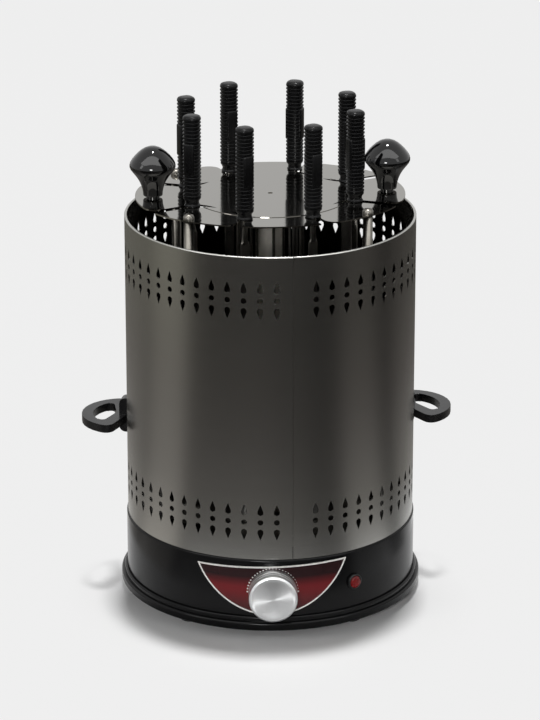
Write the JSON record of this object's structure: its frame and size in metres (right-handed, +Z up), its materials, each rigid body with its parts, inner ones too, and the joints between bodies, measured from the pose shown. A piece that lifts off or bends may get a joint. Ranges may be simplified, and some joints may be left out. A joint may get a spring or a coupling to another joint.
{
  "type": "electric skewer grill",
  "caption": "Vertical electric grill: round base with timer, perforated lift-off casing, central heater, slotted top plate and turning skewers with ribbed handles.",
  "frame": {"origin": "on the table under the middle of the round base", "axes": "+Z up along the axis of the casing and the drive gear, -Y towards the side with the timer knob, +X to the right of a person facing the knob"},
  "size_m": [0.3124, 0.2756, 0.4195],
  "materials": {
    "base_plastic": "satin black",
    "rubber": "matte",
    "panel_print": "printed, gloss",
    "trim_plastic": "gloss",
    "lens": "clear red",
    "machine_steel": "zinc plated",
    "knob_aluminium": "spun, polished edge",
    "plain_steel": "plain",
    "gear_plastic": "natural",
    "quartz": "frosted",
    "ceramic": "unglazed",
    "wire_steel": "polished wire",
    "fastener_steel": "bright",
    "mirror_steel": "mirror",
    "knob_plastic": "high gloss",
    "casing_steel": "brushed",
    "handle_plastic": "satin",
    "cup_steel": "pressed",
    "blade_steel": "rolled",
    "grip_plastic": "satin black"
  },
  "bodies": {
    "base": {"base_housing": "base_plastic", "bottom_cover": "base_plastic", "rubber_feet": "rubber", "control_panel": "panel_print", "lamp_bezel": "trim_plastic", "lamp_lens": "lens", "timer_body": "machine_steel", "cooking_deck": "plain_steel", "gear_plate": "plain_steel", "gear_motor": "machine_steel", "centre_hub": "plain_steel", "heater_tube": "quartz", "heater_sockets": "ceramic", "heater_guard": "wire_steel", "support_posts": "wire_steel", "dome_nuts": "fastener_steel", "top_plate": "mirror_steel", "lift_knobs": "knob_plastic", "cord_gland": "trim_plastic", "frame_screws": "fastener_steel"},
    "casing": {"casing_left": "casing_steel", "casing_right": "casing_steel", "side_handle_left": "handle_plastic", "side_handle_right": "handle_plastic", "casing_fasteners": "fastener_steel"},
    "knob": {"timer_knob": "knob_aluminium"},
    "drive": {"drive_gear": "gear_plastic"},
    "motor_rotor": {"motor_pinion": "gear_plastic"},
    "spindle_1": {"spindle_1": "gear_plastic", "drip_cup_1": "cup_steel"},
    "spindle_2": {"spindle_2": "gear_plastic", "drip_cup_2": "cup_steel"},
    "spindle_3": {"spindle_3": "gear_plastic", "drip_cup_3": "cup_steel"},
    "spindle_4": {"spindle_4": "gear_plastic", "drip_cup_4": "cup_steel"},
    "spindle_5": {"spindle_5": "gear_plastic", "drip_cup_5": "cup_steel"},
    "spindle_6": {"spindle_6": "gear_plastic", "drip_cup_6": "cup_steel"},
    "spindle_7": {"spindle_7": "gear_plastic", "drip_cup_7": "cup_steel"},
    "spindle_8": {"spindle_8": "gear_plastic", "drip_cup_8": "cup_steel"},
    "skewer_1": {"skewer_blade_1": "blade_steel", "skewer_handle_1": "grip_plastic"},
    "skewer_2": {"skewer_blade_2": "blade_steel", "skewer_handle_2": "grip_plastic"},
    "skewer_3": {"skewer_blade_3": "blade_steel", "skewer_handle_3": "grip_plastic"},
    "skewer_4": {"skewer_blade_4": "blade_steel", "skewer_handle_4": "grip_plastic"},
    "skewer_5": {"skewer_blade_5": "blade_steel", "skewer_handle_5": "grip_plastic"},
    "skewer_6": {"skewer_blade_6": "blade_steel", "skewer_handle_6": "grip_plastic"},
    "skewer_7": {"skewer_blade_7": "blade_steel", "skewer_handle_7": "grip_plastic"},
    "skewer_8": {"skewer_blade_8": "blade_steel", "skewer_handle_8": "grip_plastic"}
  },
  "joints": [
    {"name": "casing_lift", "type": "slide", "parent": "base", "child": "casing", "axis": [0, 0, 1], "range_m": [0, 0.36]},
    {"name": "timer_turn", "type": "hinge", "parent": "base", "child": "knob", "pos_m": [0.00227, -0.12998, 0.04], "axis": [-0.0175, 0.9998, 0], "range_deg": [0, 180]},
    {"name": "drive_turn", "type": "hinge", "parent": "base", "child": "drive", "pos_m": [0, 0, 0.05], "axis": [0, 0, 1], "continuous": true},
    {"name": "motor_turn", "type": "hinge", "parent": "base", "child": "motor_rotor", "pos_m": [-0.00627, 0.05967, 0.045], "axis": [0, 0, 1], "continuous": true},
    {"name": "spindle_turn_1", "type": "hinge", "parent": "base", "child": "spindle_1", "pos_m": [0.03436, -0.06327, 0.06], "axis": [0, 0, 1], "continuous": true},
    {"name": "spindle_turn_2", "type": "hinge", "parent": "base", "child": "spindle_2", "pos_m": [0.06904, -0.02045, 0.06], "axis": [0, 0, 1], "continuous": true},
    {"name": "spindle_turn_3", "type": "hinge", "parent": "base", "child": "spindle_3", "pos_m": [0.06327, 0.03436, 0.06], "axis": [0, 0, 1], "continuous": true},
    {"name": "spindle_turn_4", "type": "hinge", "parent": "base", "child": "spindle_4", "pos_m": [0.02045, 0.06904, 0.06], "axis": [0, 0, 1], "continuous": true},
    {"name": "spindle_turn_5", "type": "hinge", "parent": "base", "child": "spindle_5", "pos_m": [-0.03436, 0.06327, 0.06], "axis": [0, 0, 1], "continuous": true},
    {"name": "spindle_turn_6", "type": "hinge", "parent": "base", "child": "spindle_6", "pos_m": [-0.06904, 0.02045, 0.06], "axis": [0, 0, 1], "continuous": true},
    {"name": "spindle_turn_7", "type": "hinge", "parent": "base", "child": "spindle_7", "pos_m": [-0.06327, -0.03436, 0.06], "axis": [0, 0, 1], "continuous": true},
    {"name": "spindle_turn_8", "type": "hinge", "parent": "base", "child": "spindle_8", "pos_m": [-0.02045, -0.06904, 0.06], "axis": [0, 0, 1], "continuous": true},
    {"name": "skewer_lift_1", "type": "slide", "parent": "spindle_1", "child": "skewer_1", "axis": [0, 0, 1], "range_m": [0, 0.014]},
    {"name": "skewer_lift_2", "type": "slide", "parent": "spindle_2", "child": "skewer_2", "axis": [0, 0, 1], "range_m": [0, 0.014]},
    {"name": "skewer_lift_3", "type": "slide", "parent": "spindle_3", "child": "skewer_3", "axis": [0, 0, 1], "range_m": [0, 0.014]},
    {"name": "skewer_lift_4", "type": "slide", "parent": "spindle_4", "child": "skewer_4", "axis": [0, 0, 1], "range_m": [0, 0.014]},
    {"name": "skewer_lift_5", "type": "slide", "parent": "spindle_5", "child": "skewer_5", "axis": [0, 0, 1], "range_m": [0, 0.014]},
    {"name": "skewer_lift_6", "type": "slide", "parent": "spindle_6", "child": "skewer_6", "axis": [0, 0, 1], "range_m": [0, 0.014]},
    {"name": "skewer_lift_7", "type": "slide", "parent": "spindle_7", "child": "skewer_7", "axis": [0, 0, 1], "range_m": [0, 0.014]},
    {"name": "skewer_lift_8", "type": "slide", "parent": "spindle_8", "child": "skewer_8", "axis": [0, 0, 1], "range_m": [0, 0.014]}
  ],
  "couplings": [
    {"joint": "motor_turn", "follows": "drive_turn", "ratio": -4},
    {"joint": "spindle_turn_1", "follows": "drive_turn", "ratio": -2},
    {"joint": "spindle_turn_2", "follows": "drive_turn", "ratio": -2},
    {"joint": "spindle_turn_3", "follows": "drive_turn", "ratio": -2},
    {"joint": "spindle_turn_4", "follows": "drive_turn", "ratio": -2},
    {"joint": "spindle_turn_5", "follows": "drive_turn", "ratio": -2},
    {"joint": "spindle_turn_6", "follows": "drive_turn", "ratio": -2},
    {"joint": "spindle_turn_7", "follows": "drive_turn", "ratio": -2},
    {"joint": "spindle_turn_8", "follows": "drive_turn", "ratio": -2}
  ]
}
